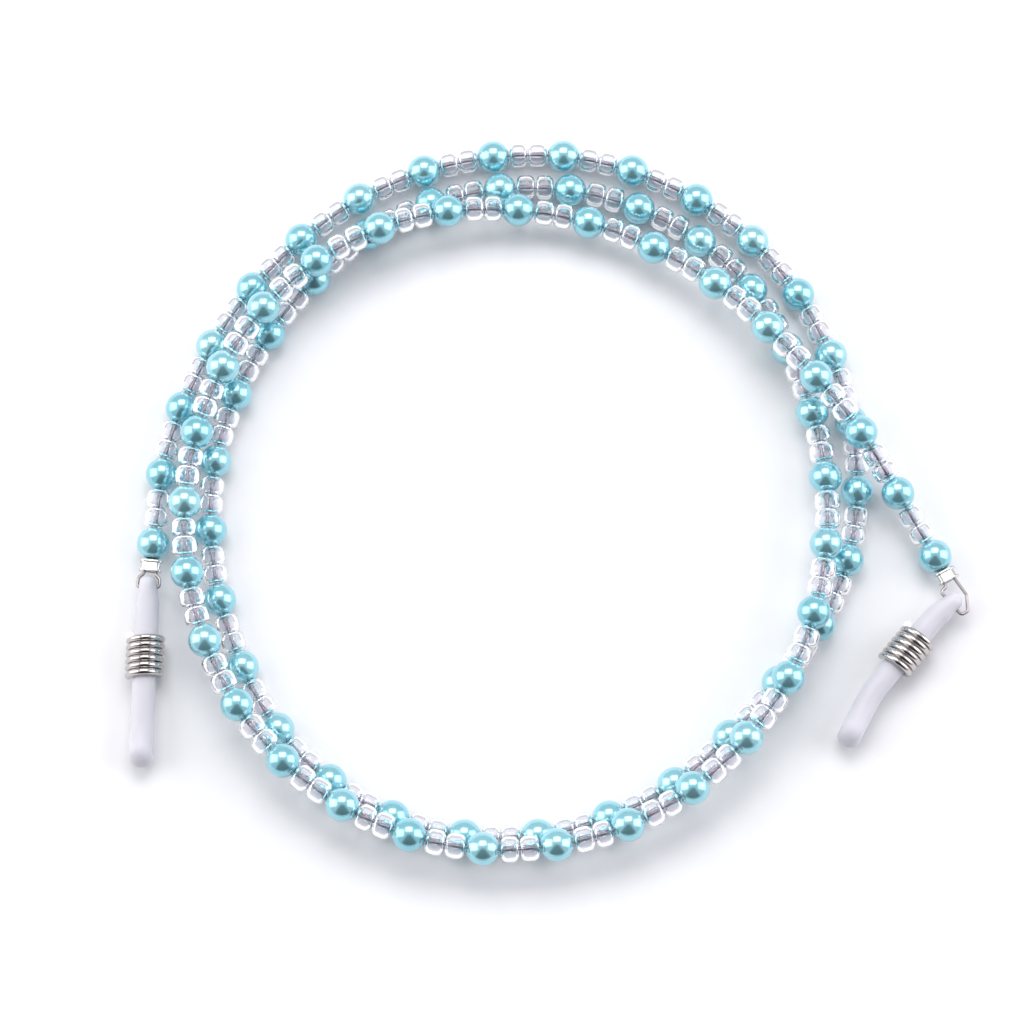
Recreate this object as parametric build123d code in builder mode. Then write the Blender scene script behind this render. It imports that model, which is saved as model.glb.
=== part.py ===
"""Beaded eyeglass retainer strap, coiled flat on a table.

Aqua pearls and clear seed beads are strung on one thin wire.  At each end the wire is crimped
into a small loop, a silicone temple loop hangs on that loop, and a sprung wire coil slides along
the silicone to close it on the temple arm.

Frame: millimetres, +Z up, origin on the table under the middle of the whole object.
"""
import os
from math import acos, cos, degrees, pi, radians, sin, sqrt, tan

from build123d import *

os.makedirs("parts", exist_ok=True)

# ---------------------------------------------------------------- driving sizes
pearl_d = 4.0            # pearl bead across
seed_d = 3.1             # seed bead across
seed_lengths = (2.20, 2.30, 2.15, 2.25, 2.30, 2.10, 2.25)   # glass beads are never quite equal
seed_round = 0.75        # round on a seed bead's outer edges
wire_d = 0.38            # beading wire
bore_play = 0.62         # how much wider a bead's bore is than the wire
bead_gap_least = 0.09    # least free gap left between two beads on the wire
spans = 10               # the beads are kept as ten spans along the wire

crimp_length = 1.40      # crimp, along the wire
crimp_width, crimp_thick = 2.30, 1.00        # flattened body of the crimp
rim_width, rim_thick, rim_length = 2.75, 1.45, 0.28   # flared rim at either end of it
leg_offset = 0.70        # each leg of the eye loop leaves the crimp this far from its middle
splice = 0.45            # the main run ends this far before the middle of the crimp
loop_bend = 0.40         # tightest bend of the eye loop
eye_play = 0.11          # room round the wire in the silicone eye
leg_clear = 0.30         # from the side of the silicone's neck to the left eye loop's corner
bow_clear = 0.425        # the same at the right, where the loop bows out past the whole band

band_width = 2.75        # silicone, across
neck_width = 2.10        # silicone, across, where the wire crosses
band_thick = 1.12        # silicone, one leg
band_length = 21.6       # from the crossing wire to the tip
temple_eye = 0.80        # inner radius of the eye for the temple arm
flare_radius = 12.0      # how gently the two legs part toward that eye
neck_run, slider_run = 1.8, 10.2     # straight next to the crimp, and straight for the slider
bend_radius = 9.0        # sideways bends between the straights

slider_wire = 0.80       # plated wire of the slider coil
slider_turns = 6
slider_pitch = 0.82
slider_play = 0.08       # between the silicone legs and the inside of the coil

# ---------------------------------------------------------------- derived sizes
grow = pearl_d / 4.0                     # the lay widens with the beads, so turns never merge
bead_bore = wire_d + bore_play
eye_inner = wire_d / 2 + eye_play        # half the slim opening between the two silicone legs
band_half_height = eye_inner + band_thick
slider_inner = band_half_height + slider_play
slider_mean = slider_inner + slider_wire / 2
slider_outer = slider_inner + slider_wire
slider_length = slider_turns * slider_pitch
end_height = max(slider_outer, pearl_d / 2)      # each slider rests on the table

# ---------------------------------------------------------------- the lay of the strand
# The strand starts at the right end, runs anticlockwise two and a half times round and stops at
# the left end.  Each corner of its route: bearing in degrees, reach from the middle of the coil,
# height of the wire.  A height of half a pearl lies on the table; about 5 to 7 lies on another turn.
coil_middle = (-3.5, -1.0)
lay = [
    (50, 36.4, 4.4), (80, 37.1, 3.3), (110, 38.2, 6.1), (140, 39.7, 6.3),
    (170, 40.4, 5.2), (200, 41.8, 5.3), (230, 43.6, 5.7), (260, 44.1, 5.7),
    (290, 42.7, 5.7), (320, 40.0, 6.5), (350, 37.6, 5.6), (380, 37.8, 2.2),
    (410, 40.9, 2.0), (440, 41.6, 2.0), (470, 40.6, 2.0), (500, 38.0, 2.0),
    (530, 37.8, 2.0), (560, 38.4, 2.0), (590, 41.4, 2.0), (620, 42.2, 2.0),
    (650, 40.3, 2.0), (680, 37.9, 2.0), (710, 41.0, 2.0), (740, 42.7, 2.0),
    (770, 45.2, 2.0), (800, 46.0, 2.0), (830, 44.9, 2.0), (860, 43.2, 2.0),
    (888, 43.0, 2.0),
]
right_start = [(42.8, -2.2, 2.3), (37.0, 6.6, 7.2), (30.8, 14.6, 7.0)]
right_crimp = (47.0, -9.9)
left_finish = [(-46.5, -2.5, 2.3)]
left_crimp = (-47.1, -8.7)

right_bearing, right_bends, right_slider_at = -140.0, (10.0, 12.0), 7.8
left_bearing, left_bends, left_slider_at = -91.0, (0.0, 0.0), 8.3
right_eye_shift = (0.45, -3.35)      # from the right crimp's middle to its crossing wire
left_eye_drop = 2.60                 # from the left crimp's middle to its crossing wire


def on_route(x, y, z):
    """One route corner, grown with the beads; the two raised ends keep the sliders' height."""
    height = end_height if z == 2.3 else z * grow
    return Vector(x * grow, y * grow, height)


corners = [on_route(*p) for p in right_start]
for bearing, reach, height in lay:
    corners.append(on_route(coil_middle[0] + reach * cos(radians(bearing)),
                            coil_middle[1] + reach * sin(radians(bearing)), height))
corners += [on_route(*p) for p in left_finish]

crimp_at = {"right": Vector(right_crimp[0] * grow, right_crimp[1] * grow, end_height),
            "left": Vector(left_crimp[0] * grow, left_crimp[1] * grow, end_height)}
outward = {"right": (crimp_at["right"] - corners[0]).normalized(),
           "left": (crimp_at["left"] - corners[-1]).normalized()}
sideways = {end: Vector(-outward[end].Y, outward[end].X, 0) for end in outward}


def by_crimp(end, along, across):
    """A point in the flat of a crimp: along the wire outwards, and across to its left."""
    return crimp_at[end] + outward[end] * along + sideways[end] * across


route = [by_crimp("right", -splice, 0)] + corners + [by_crimp("left", -splice, 0)]


def bend_radii(points, most=1e9):
    """A radius for each corner that leaves a tenth of the shorter run straight."""
    radii = []
    for a, b, c in zip(points, points[1:], points[2:]):
        turn = radians((b - a).get_angle(c - b))
        radii.append(min(most, 0.45 * min((b - a).length, (c - b).length) / tan(turn / 2)))
    return radii


# ---------------------------------------------------------------- beading wire, main run
route_radii = bend_radii(route)
with BuildPart() as beading_wire:
    with BuildLine() as wire_line:
        FilletPolyline(*route, radius=route_radii)
    wire_path = wire_line.wire()
    with BuildSketch(Plane(origin=route[0], z_dir=route[1] - route[0])):
        Circle(wire_d / 2)
    sweep(path=wire_path)
beading_wire.part.label = "beading_wire"
export_step(beading_wire.part, "parts/beading_wire.step")
print(f"beading wire: {wire_path.length:.1f} mm, bends {min(route_radii):.1f} mm or wider, "
      f"volume ratio {beading_wire.part.volume / (wire_path.length * pi * wire_d**2 / 4):.4f}")

# ---------------------------------------------------------------- eye loops of the wire
eye_at = {"right": crimp_at["right"] + Vector(*right_eye_shift, 0),
          "left": by_crimp("left", left_eye_drop, 0)}
bearings = {"right": right_bearing, "left": left_bearing}
crossing = {end: Vector(cos(radians(b + 90)), sin(radians(b + 90)), 0)
            for end, b in bearings.items()}
corner_out = neck_width / 2 + leg_clear
bow_out = band_width / 2 + bow_clear

# left: a U that hugs both sides of the silicone
left_one = eye_at["left"] + crossing["left"] * corner_out
left_other = eye_at["left"] - crossing["left"] * corner_out
left_points = [
    by_crimp("left", -splice, 0), by_crimp("left", -0.20, 0), by_crimp("left", 0.40, leg_offset),
    by_crimp("left", 0.95, leg_offset), by_crimp("left", 1.50, corner_out - 0.10),
    left_one, left_other,
    by_crimp("left", 1.50, -corner_out + 0.10), by_crimp("left", 0.95, -leg_offset),
    by_crimp("left", -splice, -leg_offset),
]
# right: the same loop pushed round, so that one leg is short and the other bows out
right_far = eye_at["right"] + crossing["right"] * bow_out
right_near = eye_at["right"] - crossing["right"] * bow_out
right_points = [
    by_crimp("right", -splice, 0), by_crimp("right", -0.20, 0), by_crimp("right", 0.40, leg_offset),
    by_crimp("right", 0.95, leg_offset), eye_at["right"] + Vector(1.85, 1.05, 0),
    eye_at["right"] + Vector(1.95, -0.95, 0), right_far, right_near,
    by_crimp("right", 1.10, -leg_offset), by_crimp("right", -splice, -leg_offset),
]
with BuildPart() as wire_loop_left:
    with BuildLine() as loop_line:
        FilletPolyline(*left_points, radius=bend_radii(left_points, loop_bend))
    with BuildSketch(Plane(origin=left_points[0], z_dir=outward["left"])):
        Circle(wire_d / 2)
    sweep(path=loop_line.wire())
wire_loop_left.part.label = "wire_loop_left"
export_step(wire_loop_left.part, "parts/wire_loop_left.step")
print(f"left eye loop: {loop_line.wire().length:.2f} mm of wire")

with BuildPart() as wire_loop_right:
    with BuildLine() as loop_line:
        FilletPolyline(*right_points, radius=bend_radii(right_points, loop_bend))
    with BuildSketch(Plane(origin=right_points[0], z_dir=outward["right"])):
        Circle(wire_d / 2)
    sweep(path=loop_line.wire())
wire_loop_right.part.label = "wire_loop_right"
export_step(wire_loop_right.part, "parts/wire_loop_right.step")
print(f"right eye loop: {loop_line.wire().length:.2f} mm of wire")

# ---------------------------------------------------------------- crimps
for end in ("left", "right"):
    mouth = Plane(origin=by_crimp(end, -crimp_length / 2, 0), x_dir=sideways[end],
                  z_dir=outward[end])
    with BuildPart() as crimp:
        with BuildSketch(mouth):
            SlotOverall(crimp_width, crimp_thick)
        extrude(amount=crimp_length)
        with BuildSketch(mouth):
            SlotOverall(rim_width, rim_thick)
        extrude(amount=rim_length)
        with BuildSketch(mouth.offset(crimp_length - rim_length)):
            SlotOverall(rim_width, rim_thick)
        extrude(amount=rim_length)
        rims = crimp.edges().filter_by(
            lambda e: abs(e.center(CenterOf.BOUNDING_BOX).Z - end_height) < 1
            and e.length > 0.5 and max(abs(v.Z - end_height) for v in e.vertices())
            > rim_thick / 2 - 0.01)
        fillet(rims, 0.08)
        with BuildSketch(mouth):
            SlotOverall(2 * leg_offset + wire_d, wire_d)
        extrude(amount=crimp_length, mode=Mode.SUBTRACT)
    crimp.part.label = f"crimp_{end}"
    export_step(crimp.part, f"parts/crimp_{end}.step")

# ---------------------------------------------------------------- beads
with BuildPart() as pearl:
    Sphere(pearl_d / 2)
    Cylinder(bead_bore / 2, pearl_d, mode=Mode.SUBTRACT)
seed_beads = {}
for length in sorted(set(seed_lengths)):
    with BuildPart() as seed:
        Cylinder(seed_d / 2, length)
        fillet(seed.edges(), seed_round)
        Cylinder(bead_bore / 2, length, mode=Mode.SUBTRACT)
        fillet(seed.edges().filter_by(GeomType.CIRCLE).filter_by(
            lambda e: abs(e.radius - bead_bore / 2) < 0.01), 0.08)
    seed_beads[length] = seed.part

# The beads fill the wire from crimp to crimp: pearl, seed, seed, and so on to a last pearl.
# A pearl takes up a little less than its diameter, for its neighbours sit on the rim of its bore.
pearl_seat = sqrt((pearl_d / 2) ** 2 - (bead_bore / 2) ** 2)
strand = wire_path.length + 2 * splice - crimp_length
seed_mean = sum(seed_lengths) / len(seed_lengths)
repeat = 2 * pearl_seat + 2 * seed_mean + 3 * bead_gap_least
repeats = int((strand - 2 * pearl_seat - 2 * bead_gap_least) / repeat)
seeds = [seed_lengths[i % len(seed_lengths)] for i in range(2 * repeats)]
bead_gap = (strand - 2 * pearl_seat * (repeats + 1) - sum(seeds)) / (3 * repeats + 2)
assert bead_gap >= bead_gap_least, f"the beads leave only {bead_gap:.3f} mm between them"

pearl_at, seed_at = [], []
reach = crimp_length / 2 - splice + bead_gap
for i in range(repeats + 1):
    pearl_at.append(reach + pearl_seat)
    reach += 2 * pearl_seat + bead_gap
    for length in seeds[2 * i:2 * i + 2]:
        seed_at.append((reach + length / 2, length))
        reach += length + bead_gap
print(f"beads: {len(pearl_at)} pearls, {len(seed_at)} seeds, gap {bead_gap:.3f} mm, "
      f"repeat {strand / repeats:.2f} mm, strand {strand:.1f} mm")


def along_wire(distance):
    """Where a bead sits: its bore along the wire at this distance from the start."""
    return wire_path.location_at(distance, position_mode=PositionMode.LENGTH)


def span_of(distance):
    return min(spans - 1, int(distance / wire_path.length * spans))


for end, distance in (("right", pearl_at[0]), ("left", pearl_at[-1])):
    with BuildPart() as end_pearl:
        with Locations(along_wire(distance)):
            add(pearl.part)
    end_pearl.part.label = f"end_pearl_{end}"
    export_step(end_pearl.part, f"parts/end_pearl_{end}.step")
    middle, axis = along_wire(distance).position, wire_path.tangent_at(
        distance, position_mode=PositionMode.LENGTH)
    print(f"end pearl {end}: middle {tuple(round(v, 3) for v in middle)}, "
          f"axis {tuple(round(v, 5) for v in axis)}")

for span in range(spans):
    with BuildPart() as pearl_span:
        with Locations(*[along_wire(d) for d in pearl_at[1:-1] if span_of(d) == span]):
            add(pearl.part)
    pearl_span.part.label = f"pearls_{span + 1:02d}"
    export_step(pearl_span.part, f"parts/pearls_{span + 1:02d}.step")
    with BuildPart() as seed_span:
        for distance, length in seed_at:
            if span_of(distance) == span:
                with Locations(along_wire(distance)):
                    add(seed_beads[length])
    seed_span.part.label = f"seeds_{span + 1:02d}"
    export_step(seed_span.part, f"parts/seeds_{span + 1:02d}.step")
    print(f"span {span + 1}: {len(pearl_span.part.solids())} pearls, "
          f"{len(seed_span.part.solids())} seeds")


# ---------------------------------------------------------------- silicone temple loops
# A closed loop seen from the side: two legs, one over the other, a tight eye round the crossing
# wire and a teardrop eye for the temple arm.  Each leg is flat inside and rounded outside.


def legs_section():
    """Both legs in section."""
    with Locations((0, eye_inner), (0, -eye_inner)):
        Ellipse(band_width / 2, band_thick)
    Rectangle(band_width + 1, 2 * eye_inner, mode=Mode.SUBTRACT)


flare_turn = acos((flare_radius + eye_inner) / (flare_radius + temple_eye))
flare_run = sqrt((flare_radius + temple_eye) ** 2 - (flare_radius + eye_inner) ** 2)
straight_run = band_length - temple_eye - band_thick - flare_run

band_plan = {"right": (right_bends, right_slider_at), "left": (left_bends, left_slider_at)}


def heading(bearing):
    return Vector(cos(radians(bearing)), sin(radians(bearing)), 0)


def leg_section(flat, up=1, width=band_width):
    """One leg in section, for the sketch being built: flat this far from the middle, rounded out."""
    with Locations((0, up * flat)):
        Ellipse(width / 2, band_thick)
    with Locations((0, up * (flat - band_thick))):
        Rectangle(width + 1, 2 * band_thick, mode=Mode.SUBTRACT)


for end in ("left", "right"):
    bends, slider_at = band_plan[end]
    runs = (neck_run, slider_run,
            straight_run - neck_run - slider_run - bend_radius * radians(sum(bends)))
    with BuildPart() as silicone_loop:
        # both legs, in plan: straight, a bend, the slider's straight, a bend, straight
        spot, bearing = eye_at[end], bearings[end]
        for run, bend in zip(runs, bends + (0.0,)):
            cut = Plane(origin=spot, x_dir=heading(bearing + 90), z_dir=heading(bearing))
            if run == neck_run:      # the neck widens from the crossing wire to the full band
                for up in (1, -1):
                    with BuildSketch(cut):
                        leg_section(eye_inner, up, neck_width)
                    with BuildSketch(cut.offset(run)):
                        leg_section(eye_inner, up)
                    loft()
            else:
                with BuildSketch(cut):
                    legs_section()
                extrude(amount=run)
            spot = spot + heading(bearing) * run
            if bend:
                with BuildSketch(cut.offset(run)):
                    legs_section()
                centre = spot + heading(bearing + 90) * bend_radius
                revolve(axis=Axis(centre, (0, 0, 1)), revolution_arc=bend)
                bearing += bend
                spot = centre + heading(bearing - 90) * bend_radius
        # the tight eye round the crossing wire
        start = Plane(origin=eye_at[end], x_dir=crossing[end], z_dir=heading(bearings[end]))
        with BuildSketch(start):
            leg_section(eye_inner, 1, neck_width)
        revolve(axis=Axis(eye_at[end], -crossing[end]), revolution_arc=180)
        # the two legs part
        across = heading(bearing + 90)
        flare = Plane(origin=spot, x_dir=across, z_dir=heading(bearing))
        for up in (1, -1):
            with BuildSketch(flare):
                leg_section(eye_inner, up)
            revolve(axis=Axis(spot + Vector(0, 0, up * (eye_inner + flare_radius)), across * -up),
                    revolution_arc=degrees(flare_turn))
        # the teardrop eye for the temple arm
        eye = spot + heading(bearing) * flare_run
        rise = heading(bearing) * cos(flare_turn) + Vector(0, 0, sin(flare_turn))
        with BuildSketch(Plane(origin=eye, x_dir=across, z_dir=rise)):
            leg_section(temple_eye)
        revolve(axis=Axis(eye, across), revolution_arc=180 + 2 * degrees(flare_turn))
    silicone_loop.part.label = f"silicone_loop_{end}"
    export_step(silicone_loop.part, f"parts/silicone_loop_{end}.step")

    # slider: six close turns round both legs, on the loop's middle straight
    bend_run = bend_radius * radians(bends[0])
    bend_middle = eye_at[end] + heading(bearings[end]) * runs[0]
    if bends[0]:
        bend_middle += heading(bearings[end] + 90) * bend_radius
        bend_middle += heading(bearings[end] + bends[0] - 90) * bend_radius
    spring_way = heading(bearings[end] + bends[0])
    spring_at = bend_middle + spring_way * (slider_at - runs[0] - bend_run)
    with BuildPart() as slider_coil:
        with BuildLine() as spring_line:
            Helix(slider_pitch, slider_length, slider_mean,
                  center=spring_at - spring_way * (slider_length / 2), direction=spring_way)
        with BuildSketch(Plane(origin=spring_line.line @ 0, z_dir=spring_line.line % 0)):
            Circle(slider_wire / 2)
        sweep(path=spring_line.wire(), is_frenet=True)
    slider_coil.part.label = f"slider_coil_{end}"
    export_step(slider_coil.part, f"parts/slider_coil_{end}.step")
    coil_half = (slider_length + slider_wire) / 2
    travel = (slider_at - coil_half - runs[0] - bend_run,
              runs[0] + bend_run + runs[1] - slider_at - coil_half)
    print(f"{end}: crossing wire {tuple(round(v, 3) for v in eye_at[end])} along "
          f"{tuple(round(v, 5) for v in crossing[end])}, temple eye "
          f"{tuple(round(v, 3) for v in eye)} along {tuple(round(v, 5) for v in across)}, tip way "
          f"{tuple(round(v, 5) for v in heading(bearing))}, slider at "
          f"{tuple(round(v, 3) for v in spring_at)} along "
          f"{tuple(round(v, 5) for v in spring_way)}, room {travel[0]:.2f} / {travel[1]:.2f}, "
          f"solids {len(silicone_loop.part.solids())} {len(slider_coil.part.solids())}, "
          f"coil volume {slider_coil.part.volume:.2f} of "
          f"{spring_line.wire().length * pi * slider_wire**2 / 4:.2f}")
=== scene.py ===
# %% [markdown]
# # Beaded eyeglass retainer strap
# One thin wire carries aqua pearls and pairs of clear seed beads.  A crimp, a small eye loop of
# the wire, a silicone temple loop and a sliding wire coil finish each end.  The strap lies coiled
# two and a half times on a pale table.  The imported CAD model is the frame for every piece.

from math import asin, cos, pi, radians, sin, sqrt

import bpy
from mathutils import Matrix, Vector


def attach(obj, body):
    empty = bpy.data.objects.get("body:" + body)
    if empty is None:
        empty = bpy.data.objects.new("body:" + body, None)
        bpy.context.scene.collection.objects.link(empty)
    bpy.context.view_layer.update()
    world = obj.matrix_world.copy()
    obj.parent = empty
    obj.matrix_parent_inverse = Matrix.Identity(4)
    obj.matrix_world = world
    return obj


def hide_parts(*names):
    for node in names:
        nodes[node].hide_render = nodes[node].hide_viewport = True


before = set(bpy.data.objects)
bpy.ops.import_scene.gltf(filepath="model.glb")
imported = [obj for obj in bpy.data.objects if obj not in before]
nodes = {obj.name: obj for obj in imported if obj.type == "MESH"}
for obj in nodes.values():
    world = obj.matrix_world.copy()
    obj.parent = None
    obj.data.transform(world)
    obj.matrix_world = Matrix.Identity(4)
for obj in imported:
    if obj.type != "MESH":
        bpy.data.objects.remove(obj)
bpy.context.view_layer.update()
scene = bpy.context.scene
MM = 0.001


def srgb(code):
    """A hex colour as the linear RGBA that shaders take."""
    parts = [int(code[i:i + 2], 16) / 255 for i in (1, 3, 5)]
    return (*[c / 12.92 if c <= 0.04045 else ((c + 0.055) / 1.055) ** 2.4 for c in parts], 1.0)


def new_node(tree, kind, settings=None, **inputs):
    """Adds a node.  Settings are its own properties.  Inputs are socket values or links, by the
    socket's name with _ for a space, or by its number as i0, i1 and so on."""
    node = tree.nodes.new(kind)
    for key, value in (settings or {}).items():
        setattr(node, key, value)
    for key, value in inputs.items():
        numbered = key[0] == "i" and key[1:].isdigit()
        socket = node.inputs[int(key[1:]) if numbered else key.replace("_", " ")]
        if isinstance(value, bpy.types.NodeSocket):
            tree.links.new(value, socket)
        else:
            socket.default_value = value
    return node


def new_material(name):
    """An empty material with its output, and the tree to build it in."""
    material = bpy.data.materials.new(name)
    material.use_nodes = True
    tree = material.node_tree
    tree.nodes.clear()
    return material, tree, tree.nodes.new("ShaderNodeOutputMaterial")


def spots(tree, per_mm, detail, **more):
    """Noise fixed to the piece, at this many spots to the millimetre."""
    place = new_node(tree, "ShaderNodeTexCoord")
    noise = new_node(tree, "ShaderNodeTexNoise", None, Vector=place.outputs["Object"],
                     Scale=per_mm / MM, Detail=detail, **more)
    return noise.outputs["Fac"]


def link_up(name, data):
    """A new object that holds this data, linked into the scene."""
    obj = bpy.data.objects.new(name, data)
    scene.collection.objects.link(obj)
    return obj


# %% [markdown]
# ## Camera
# The strap is seen from high up and from the side of the two temple loops, with a long lens, so
# the far beads are only a little smaller than the near ones.

# %% Camera
ELEVATION, DISTANCE, LENS = radians(75), 0.450, 133.0
AIM = Vector((-0.0046, -0.0012, 0.0))
camera = link_up("camera", bpy.data.cameras.new("camera"))
camera.data.lens, camera.data.sensor_width = LENS, 36.0
camera.data.clip_start, camera.data.clip_end = 0.01, 20.0
camera.location = AIM + Vector((0, -cos(ELEVATION), sin(ELEVATION))) * DISTANCE
camera.rotation_euler = (pi / 2 - ELEVATION, 0, 0)
scene.camera = camera
print("camera at", [round(c, 3) for c in camera.location])

# %% [markdown]
# ## Beading wire
# The wire is the path that everything else on the strand follows.  It could be a swept mesh or a
# curve.  A curve with the route's corners as control points keeps its line smooth and measurable,
# and the beads can be read off the same spline.  The lay gives each corner of the coil as a
# bearing round its middle in degrees, a reach from it and a height, both in metres.

# %% Beading wire
WIRE_D = 0.38 * MM
END_HEIGHT = 2.3 * MM
SPLICE = 0.45 * MM
coil_middle = (-0.0035, -0.0010)
lay = [
    (50, .0364, .0044), (80, .0371, .0033), (110, .0382, .0061), (140, .0397, .0063),
    (170, .0404, .0052), (200, .0418, .0053), (230, .0436, .0057), (260, .0441, .0057),
    (290, .0427, .0057), (320, .0400, .0065), (350, .0376, .0056), (380, .0378, .0022),
    (410, .0409, .0020), (440, .0416, .0020), (470, .0406, .0020), (500, .0380, .0020),
    (530, .0378, .0020), (560, .0384, .0020), (590, .0414, .0020), (620, .0422, .0020),
    (650, .0403, .0020), (680, .0379, .0020), (710, .0410, .0020), (740, .0427, .0020),
    (770, .0452, .0020), (800, .0460, .0020), (830, .0449, .0020), (860, .0432, .0020),
    (888, .0430, .0020),
]
right_crimp = Vector((0.0470, -0.0099, END_HEIGHT))
left_crimp = Vector((-0.0471, -0.0087, END_HEIGHT))
corners = [Vector((0.0428, -0.0022, END_HEIGHT)), Vector((0.0370, 0.0066, 0.0072)),
           Vector((0.0308, 0.0146, 0.0070))]
corners += [Vector((coil_middle[0] + reach * cos(radians(bearing)),
                    coil_middle[1] + reach * sin(radians(bearing)), height))
            for bearing, reach, height in lay]
corners.append(Vector((-0.0465, -0.0025, END_HEIGHT)))
right_out = (right_crimp - corners[0]).normalized()
left_out = (left_crimp - corners[-1]).normalized()
route = [right_crimp - right_out * SPLICE] + corners + [left_crimp - left_out * SPLICE]


def route_curve(name, bevel):
    """The route as a quadratic spline that starts and ends on its first and last points."""
    data = bpy.data.curves.new(name, "CURVE")
    data.dimensions = "3D"
    spline = data.splines.new("NURBS")
    spline.points.add(len(route) - 1)
    for point, place in zip(spline.points, route):
        point.co = (*place, 1.0)
    spline.order_u = 3
    spline.use_endpoint_u = True
    spline.resolution_u = 24
    data.bevel_depth = bevel
    data.bevel_resolution = 3
    data.use_fill_caps = bevel > 0
    return link_up(name, data)


wire = route_curve("beading_wire_run", WIRE_D / 2)
line = route_curve("wire line", 0.0)
bpy.context.view_layer.update()
line_mesh = bpy.data.meshes.new_from_object(
    line.evaluated_get(bpy.context.evaluated_depsgraph_get()))
path = [v.co.copy() for v in line_mesh.vertices]
bpy.data.objects.remove(line)
reached = [0.0]
for a, b in zip(path, path[1:]):
    reached.append(reached[-1] + (b - a).length)
wire_length = reached[-1]


def on_wire(distance):
    """The place and the direction of the wire at this distance from its start."""
    low, high = 0, len(reached) - 1
    while high - low > 1:
        middle = (low + high) // 2
        low, high = (middle, high) if reached[middle] <= distance else (low, middle)
    part = (distance - reached[low]) / (reached[high] - reached[low])
    ahead = path[min(high + 1, len(path) - 1)] - path[max(low - 1, 0)]
    return path[low].lerp(path[high], part), ahead.normalized()


print("wire length mm", round(wire_length / MM, 1), "points", len(path))

# %% [markdown]
# ## Places of the beads
# The pattern is one pearl and two seed beads.  Every bead sits against the next, so the places
# are worked out along the wire from the beads' lengths and one small equal gap between them.
# A pearl takes up a little less of the wire than its width, because its bore cuts the poles off.

# %% Places of the beads
PEARL_R, BORE_R = 2.0 * MM, 0.5 * MM
SEED_R, SEED_LENGTH = 1.55 * MM, 2.2 * MM
CRIMP_HALF = 0.70 * MM
seed_lengths = [x * MM for x in (2.20, 2.30, 2.15, 2.25, 2.30, 2.10, 2.25)]
REPEATS = 74
seat = sqrt(PEARL_R ** 2 - BORE_R ** 2)
seeds = [seed_lengths[i % 7] for i in range(2 * REPEATS)]
strand = wire_length + 2 * SPLICE - 2 * CRIMP_HALF
gap = (strand - 2 * seat * (REPEATS + 1) - sum(seeds)) / (3 * REPEATS + 2)
pearl_at, seed_at = [], []
reach = CRIMP_HALF - SPLICE + gap
for i in range(REPEATS + 1):
    pearl_at.append(reach + seat)
    reach += 2 * seat + gap
    for length in seeds[2 * i:2 * i + 2]:
        seed_at.append((reach + length / 2, length))
        reach += length + gap
print("pearls", len(pearl_at), "seeds", len(seed_at), "gap mm", round(gap / MM, 3))

# %% [markdown]
# ## One bead of each kind
# A bead is turned about its bore, so each template is a profile spun round: the outside, a
# softened rim and the bore's own wall.  The seed bead is a cut length of glass tube with
# fire-polished ends.  A few dozen faces would do for a bead seen from afar, but these are also
# seen close up: the pearl needs a round outline, and the glass bends light by its facets.

# %% Bead templates
RIM = 0.10 * MM


def lathe(name, profile, around):
    """A closed profile of (radius, height) points spun round Z as one closed skin with UVs."""
    mesh = bpy.data.meshes.new(name)
    verts, faces = [], []
    n = len(profile)
    for k in range(around):
        c, s = cos(2 * pi * k / around), sin(2 * pi * k / around)
        verts += [(r * c, r * s, z) for r, z in profile]
    for k in range(around):
        after = (k + 1) % around
        for i in range(n):
            above = (i + 1) % n
            faces.append((k * n + i, after * n + i, after * n + above, k * n + above))
    mesh.from_pydata(verts, [], faces)
    uv = mesh.uv_layers.new(name="UVMap")
    for poly in mesh.polygons:
        k, i = divmod(poly.index, n)
        for loop, (du, dv) in zip(poly.loop_indices, ((0, 0), (1, 0), (1, 1), (0, 1))):
            uv.data[loop].uv = ((k + du) / around, (i + dv) / n)
    mesh.shade_smooth()
    mesh.update()
    return mesh


def pearl_profile(steps=13, rim=RIM):
    """Down the outside of the ball, round the rim, and up the bore."""
    low = asin((BORE_R + rim) / PEARL_R)
    points = []
    for i in range(steps + 1):
        angle = low + (pi - 2 * low) * i / steps
        points.append((PEARL_R * sin(angle), PEARL_R * cos(angle)))
    edge = points[-1][1]
    points += [(BORE_R + rim * 0.3, edge + rim * 0.10), (BORE_R, edge + rim),
               (BORE_R, 0.0), (BORE_R, -edge - rim), (BORE_R + rim * 0.3, -edge - rim * 0.10)]
    return points


def seed_profile(length=SEED_LENGTH, soft=0.75 * MM, rim=RIM, steps=4):
    """Out along one end, round its shoulder, down the side, and back up the bore."""
    half = length / 2
    points = [(BORE_R + rim, half)]
    for i in range(steps + 1):
        angle = pi / 2 * i / steps
        points.append((SEED_R - soft + soft * sin(angle), half - soft + soft * cos(angle)))
    for i in range(steps + 1):
        angle = pi / 2 * i / steps
        points.append((SEED_R - soft + soft * cos(angle), -half + soft - soft * sin(angle)))
    points.append((BORE_R + rim, -half))
    points += [(BORE_R, -half + rim), (BORE_R, 0.0), (BORE_R, half - rim)]
    return points


pearl_shape = link_up("pearl shape", lathe("pearl shape", pearl_profile(), 24))
seed_shape = link_up("seed shape", lathe("seed shape", seed_profile(), 18))
for shape in (pearl_shape, seed_shape):
    print(shape.name, len(shape.data.polygons), "faces")

# %% [markdown]
# ## Stringing the beads
# A points mesh holds each bead's place, direction and stretch.  A geometry-nodes tree sets
# one template on every point, turns its bore along the wire, stretches it to its own length,
# gives it its own roll and a tint number, and hands back plain geometry.

# %% Stringing the beads


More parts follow.
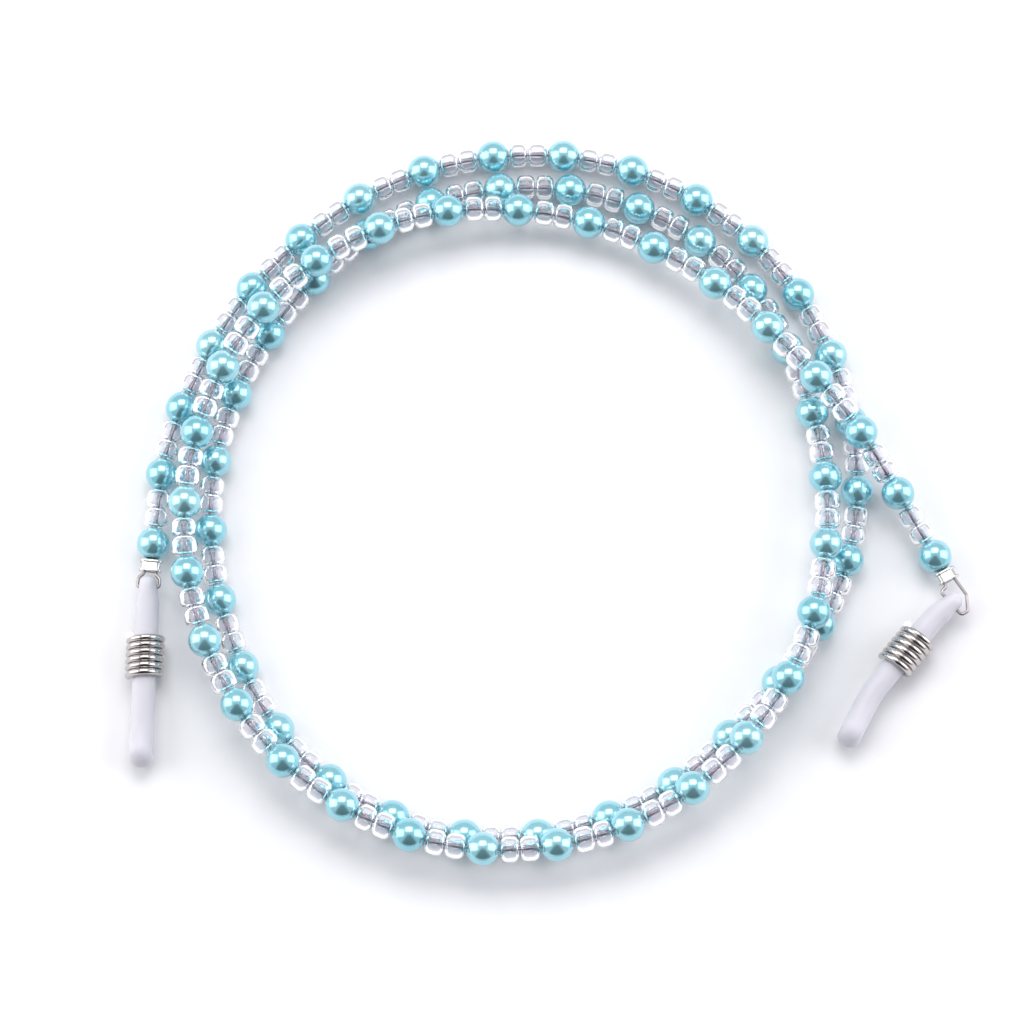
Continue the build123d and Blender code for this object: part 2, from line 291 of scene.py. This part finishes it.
def bead_points(name, items):
    """A mesh of points that carry the wire's direction and a stretch along it."""
    mesh = bpy.data.meshes.new(name)
    mesh.from_pydata([place for place, _, _ in items], [], [])
    mesh.attributes.new("way", "FLOAT_VECTOR", "POINT")
    mesh.attributes.new("stretch", "FLOAT", "POINT")
    for i, (_, direction, stretch) in enumerate(items):
        mesh.attributes["way"].data[i].vector = direction
        mesh.attributes["stretch"].data[i].value = stretch
    return link_up(name, mesh)


def stringing_tree():
    """Points in, beads out: each bead turned, rolled, sized, tinted and finished."""
    tree = bpy.data.node_groups.new("string beads", "GeometryNodeTree")
    face = tree.interface
    for name, kind in (("Geometry", "Geometry"), ("Bead", "Object"), ("Seed", "Int"),
                       ("Size spread", "Float"), ("Finish", "Material")):
        face.new_socket(name, in_out="INPUT", socket_type="NodeSocket" + kind)
    face.new_socket("Geometry", in_out="OUTPUT", socket_type="NodeSocketGeometry")
    given = tree.nodes.new("NodeGroupInput")
    bead = new_node(tree, "GeometryNodeObjectInfo", {"transform_space": "ORIGINAL"},
                    Object=given.outputs["Bead"])
    way = new_node(tree, "GeometryNodeInputNamedAttribute", {"data_type": "FLOAT_VECTOR"},
                   Name="way")
    stretch = new_node(tree, "GeometryNodeInputNamedAttribute", {"data_type": "FLOAT"},
                       Name="stretch")
    turn = new_node(tree, "FunctionNodeAlignRotationToVector", {"axis": "Z"},
                    Vector=way.outputs[0])
    roll = new_node(tree, "FunctionNodeRandomValue", {"data_type": "FLOAT"}, i2=0.0, i3=6.283,
                    Seed=given.outputs["Seed"])
    about = new_node(tree, "FunctionNodeAxisAngleToRotation", None, Axis=(0, 0, 1),
                     Angle=roll.outputs[1])
    spin = new_node(tree, "FunctionNodeRotateRotation", {"rotation_space": "LOCAL"},
                    i0=turn.outputs[0], i1=about.outputs[0])
    spread = new_node(tree, "FunctionNodeRandomValue", {"data_type": "FLOAT"}, i2=0.0,
                      i3=given.outputs["Size spread"], Seed=given.outputs["Seed"])
    across = new_node(tree, "ShaderNodeMath", {"operation": "SUBTRACT"}, i0=1.0,
                      i1=spread.outputs[1])
    scale = new_node(tree, "ShaderNodeCombineXYZ", None, X=across.outputs[0],
                     Y=across.outputs[0], Z=stretch.outputs[0])
    placed = new_node(tree, "GeometryNodeInstanceOnPoints", None,
                      Points=given.outputs["Geometry"], Instance=bead.outputs["Geometry"],
                      Rotation=spin.outputs[0], Scale=scale.outputs[0])
    offset = new_node(tree, "ShaderNodeMath", {"operation": "ADD"}, i0=given.outputs["Seed"],
                      i1=7.0)
    tint = new_node(tree, "FunctionNodeRandomValue", {"data_type": "FLOAT"},
                    Seed=offset.outputs[0])
    kept = new_node(tree, "GeometryNodeStoreNamedAttribute",
                    {"data_type": "FLOAT", "domain": "INSTANCE"},
                    Geometry=placed.outputs[0], Name="tint", Value=tint.outputs[1])
    real = new_node(tree, "GeometryNodeRealizeInstances", None, Geometry=kept.outputs[0])
    done = new_node(tree, "GeometryNodeSetMaterial", None, Geometry=real.outputs[0],
                    Material=given.outputs["Finish"])
    new_node(tree, "NodeGroupOutput", None, i0=done.outputs[0])
    return tree


stringing = stringing_tree()
print(stringing.name, len(stringing.nodes), "nodes")


def string_beads(name, items, shape, seed, spread, finish):
    """Runs the tree on these (place, direction, stretch) items and returns one plain mesh."""
    points = bead_points(name + " points", items)
    modifier = points.modifiers.new("string beads", "NODES")
    modifier.node_group = stringing
    wanted = {"Bead": shape, "Seed": seed, "Size spread": spread, "Finish": finish}
    for item in stringing.interface.items_tree:
        if item.in_out == "INPUT" and item.name in wanted:
            modifier[item.identifier] = wanted[item.name]
    points.update_tag()
    bpy.context.view_layer.update()
    graph = bpy.context.evaluated_depsgraph_get()
    mesh = bpy.data.meshes.new_from_object(points.evaluated_get(graph),
                                           preserve_all_data_layers=True, depsgraph=graph)
    bpy.data.objects.remove(points)
    mesh.shade_smooth()
    print(name, len(mesh.polygons), "faces")
    return link_up(name, mesh)


# %% [markdown]
# ## Materials of the strand
# The pearls are moulded balls in an aqua pearl lacquer.  Mica in the lacquer mirrors the room
# softly, so the shader is mostly metallic, under a clear coat and a very thin interference layer
# that shifts the rims.  The seed beads are clear soda glass with a faint blue cast, and the wire
# is drawn steel.  Each bead's tint number moves its colour a little, because lacquer and glass
# differ from bead to bead.

# %% Materials of the strand
pearl_finish, tree, out = new_material("Aqua pearl lacquer over moulded bead")
tint = new_node(tree, "ShaderNodeAttribute", {"attribute_name": "tint"})
ground = new_node(tree, "ShaderNodeMix", {"data_type": "RGBA"}, Factor=tint.outputs["Fac"],
                  i6=srgb("#93d6e4"), i7=srgb("#a8e2ec"))
cloud = new_node(tree, "ShaderNodeMix", {"data_type": "RGBA", "blend_type": "MULTIPLY"},
                 Factor=0.12, i6=ground.outputs[2], i7=spots(tree, 0.9, 3.0))
lacquer = new_node(tree, "ShaderNodeBsdfPrincipled", None, Base_Color=cloud.outputs[2],
                   Metallic=0.72, Roughness=0.20, IOR=1.5, Coat_Weight=0.8,
                   Coat_Roughness=0.09, Coat_IOR=1.45, Thin_Film_Thickness=380.0,
                   Thin_Film_IOR=1.40)
tree.links.new(lacquer.outputs[0], out.inputs[0])

seed_finish, tree, out = new_material("Clear soda glass, fire polished")
tint = new_node(tree, "ShaderNodeAttribute", {"attribute_name": "tint"})
cast = new_node(tree, "ShaderNodeMix", {"data_type": "RGBA"}, Factor=tint.outputs["Fac"],
                i6=srgb("#efeaf2"), i7=srgb("#e6eef5"))
waves = new_node(tree, "ShaderNodeBump", None, Strength=0.08, Distance=0.1 * MM,
                 Height=spots(tree, 0.7, 1.0))
glass = new_node(tree, "ShaderNodeBsdfPrincipled", None, Base_Color=cast.outputs[2],
                 Roughness=0.11, IOR=1.46, Transmission_Weight=1.0, Normal=waves.outputs[0])
tree.links.new(glass.outputs[0], out.inputs[0])

wire_finish, tree, out = new_material("Stainless beading wire, drawn")
rough = new_node(tree, "ShaderNodeMapRange", None, Value=spots(tree, 2.5, 2.0), i3=0.22,
                 i4=0.38)
steel = new_node(tree, "ShaderNodeBsdfPrincipled", None, Base_Color=srgb("#a8a1a2"),
                 Metallic=1.0, Roughness=rough.outputs[0])
tree.links.new(steel.outputs[0], out.inputs[0])
print(pearl_finish.name, "|", seed_finish.name, "|", wire_finish.name)

# %% [markdown]
# ## Beads on the wire
# The middle pearls and the seed beads go with the strand, so each kind is one mesh.  The two end
# pearls turn on the wire by themselves, so each is a mesh of its own, on the straight line out of
# its crimp.

# %% Beads on the wire
pearls = string_beads("pearl_beads", [(*on_wire(d), 1.0) for d in pearl_at[1:-1]], pearl_shape,
                      11, 0.03, pearl_finish)
first = CRIMP_HALF + gap + seat
right_pearl = string_beads("end_pearl_right_bead",
                           [(right_crimp - right_out * first, -right_out, 1.0)], pearl_shape,
                           12, 0.0, pearl_finish)
left_pearl = string_beads("end_pearl_left_bead",
                          [(left_crimp - left_out * first, left_out, 1.0)], pearl_shape,
                          13, 0.0, pearl_finish)
seed_strand = string_beads("seed_beads", [(*on_wire(d), x / SEED_LENGTH) for d, x in seed_at],
                           seed_shape, 21, 0.05, seed_finish)
for shape in (pearl_shape, seed_shape):
    bpy.data.objects.remove(shape)
wire.data.materials.append(wire_finish)

# %% [markdown]
# ## Metal fittings
# The slider coils are nickel-plated spring wire and the crimps are silver-plated tube, pressed
# flat.  Both keep the exact CAD skin, because their form is already the real one.  Plating is
# close to a mirror, with faint handling marks that change its roughness from spot to spot.

# %% Metal fittings


def plated(name, colour, low, high, per_mm):
    """Plating whose roughness goes from low to high in marks, this many to the millimetre."""
    material, tree, out = new_material(name)
    rough = new_node(tree, "ShaderNodeMapRange", None,
                     Value=spots(tree, per_mm, 4.0, Roughness=0.6), i1=0.35, i2=0.7, i3=low,
                     i4=high)
    metal = new_node(tree, "ShaderNodeBsdfPrincipled", None, Base_Color=srgb(colour),
                     Metallic=1.0, Roughness=rough.outputs[0])
    tree.links.new(metal.outputs[0], out.inputs[0])
    return material


slider_finish = plated("Nickel plated spring wire", "#c9c4c2", 0.10, 0.20, 0.7)
crimp_finish = plated("Silver plated crimp tube, pressed", "#d9d7d4", 0.12, 0.28, 1.5)
print(slider_finish.name, "|", crimp_finish.name)

# %% [markdown]
# ## Silicone temple loops
# Moulded milky silicone lets light a millimetre or two in and scatters it, so its shader is
# nearly all subsurface, with a satin skin and a bump far finer than the piece.

# %% Silicone temple loops
silicone_finish, tree, out = new_material("Milky moulded silicone")
pores = new_node(tree, "ShaderNodeBump", None, Strength=0.10, Distance=0.05 * MM,
                 Height=spots(tree, 1.2, 2.0))
silicone = new_node(tree, "ShaderNodeBsdfPrincipled", None, Base_Color=srgb("#cbcad1"),
                    Roughness=0.38, IOR=1.41, Subsurface_Weight=0.85,
                    Subsurface_Radius=(1.0, 0.97, 1.0), Subsurface_Scale=1.6 * MM,
                    Normal=pores.outputs[0])
tree.links.new(silicone.outputs[0], out.inputs[0])


def dress(name, material):
    """Gives a kept CAD node its finish."""
    nodes[name].data.materials.clear()
    nodes[name].data.materials.append(material)
    print(name, "in", material.name)


for end in ("left", "right"):
    dress(f"crimp_{end}", crimp_finish)
    dress(f"slider_coil_{end}", slider_finish)
    dress(f"wire_loop_{end}", wire_finish)
    dress(f"silicone_loop_{end}", silicone_finish)

# %% [markdown]
# ## Riding the frame
# The wire and its beads ride the strand body and stand for the CAD spans.  Each end pearl rides
# its own body, so that it can turn.  The cord's length is the one the CAD build measured.

# %% Riding the frame
for obj, body, slot in ((wire, "strand", "wire"), (pearls, "strand", "pearl"),
                        (seed_strand, "strand", "seed_glass"),
                        (right_pearl, "end_pearl_right", "pearl"),
                        (left_pearl, "end_pearl_left", "pearl")):
    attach(obj, body)
    print(obj.name, "rides", body)
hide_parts("beading_wire")
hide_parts(*[n for n in nodes if n.startswith("pearls_")])
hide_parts(*[n for n in nodes if n.startswith("seeds_")])
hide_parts("end_pearl_right")
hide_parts("end_pearl_left")

# %% [markdown]
# ## Table and light
# A pale seamless table, a soft light from behind and above, and a large soft light at either side
# make the bright patches on each pearl.  A dark card leans in front, from the table up toward the
# camera, and puts the dark patch into each pearl's near side.  It casts no shadow.  The standard
# view transform keeps the table white and the aqua true.

# %% Table and light
floor_mesh = bpy.data.meshes.new("table")
floor_mesh.from_pydata([(-3, -3, 0), (3, -3, 0), (3, 3, 0), (-3, 3, 0)], [], [(0, 1, 2, 3)])
floor = link_up("table", floor_mesh)
paper, tree, out = new_material("Seamless white paper")
shade = new_node(tree, "ShaderNodeMix", {"data_type": "RGBA"}, Factor=spots(tree, 0.3, 2.0),
                 i6=srgb("#eaeaec"), i7=srgb("#eeeef0"))
sheet = new_node(tree, "ShaderNodeBsdfPrincipled", None, Base_Color=shade.outputs[2],
                 Roughness=0.9)
tree.links.new(sheet.outputs[0], out.inputs[0])
floor_mesh.materials.append(paper)


def soft_light(name, place, size, watts, colour="#ffffff"):
    """A rectangle of light, this wide and high in metres, turned toward the strap."""
    data = bpy.data.lights.new(name, "AREA")
    data.shape, data.size, data.size_y = "RECTANGLE", *size
    data.energy, data.color = watts, srgb(colour)[:3]
    lamp = link_up(name, data)
    lamp.location = place
    lamp.rotation_euler = (AIM - Vector(place)).to_track_quat("-Z", "Y").to_euler()
    print(name, watts, "W")


soft_light("back light", (-0.02, 0.42, 0.76), (0.62, 0.46), 3.9)
soft_light("left light", (-0.72, 0.08, 0.40), (0.62, 0.84), 3.8)
soft_light("right light", (0.74, 0.08, 0.40), (0.62, 0.84), 3.8, "#faf8ff")
card_mesh = bpy.data.meshes.new("dark_card")
card_mesh.from_pydata([(-0.42, -0.52, 0.06), (0.42, -0.52, 0.06), (0.13, -0.13, 0.75),
                       (-0.13, -0.13, 0.75)], [], [(0, 1, 2, 3)])
card = link_up("dark_card", card_mesh)
card.visible_camera = False
card.visible_shadow = False
felt, tree, out = new_material("Black card")
black = new_node(tree, "ShaderNodeBsdfPrincipled", None, Base_Color=srgb("#101418"),
                 Roughness=0.9)
tree.links.new(black.outputs[0], out.inputs[0])
card_mesh.materials.append(felt)
scene.world = bpy.data.worlds.new("studio")
scene.world.use_nodes = True
room = scene.world.node_tree.nodes["Background"]
room.inputs["Color"].default_value = srgb("#fbfbff")
room.inputs["Strength"].default_value = 0.68
scene.view_settings.view_transform = "Standard"
